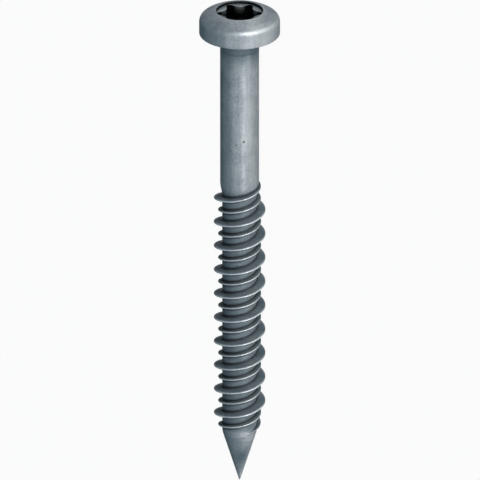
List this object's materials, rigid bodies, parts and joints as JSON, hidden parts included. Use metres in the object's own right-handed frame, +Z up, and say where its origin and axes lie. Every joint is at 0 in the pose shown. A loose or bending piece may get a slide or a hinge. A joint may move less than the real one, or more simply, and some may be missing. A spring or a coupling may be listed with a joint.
{
  "type": "concrete screw",
  "caption": "Concrete screw with a flat washer head, a six-lobe drive recess, a plain shank and a high-low thread down to a cone point.",
  "frame": {"origin": "centre of the bounding box at its bottom, on the surface that the screw lies on", "axes": "+Y from the point towards the head, +Z up; the screw lies on the rim of its head and its last crests, so its axis drops by about 2.04 degrees from the head to the point"},
  "size_m": [0.0098, 0.0628, 0.0098],
  "materials": {
    "coated_steel": "semi-matte grey coating on steel"
  },
  "bodies": {
    "root": {"concrete_screw": "coated_steel"}
  },
  "joints": []
}
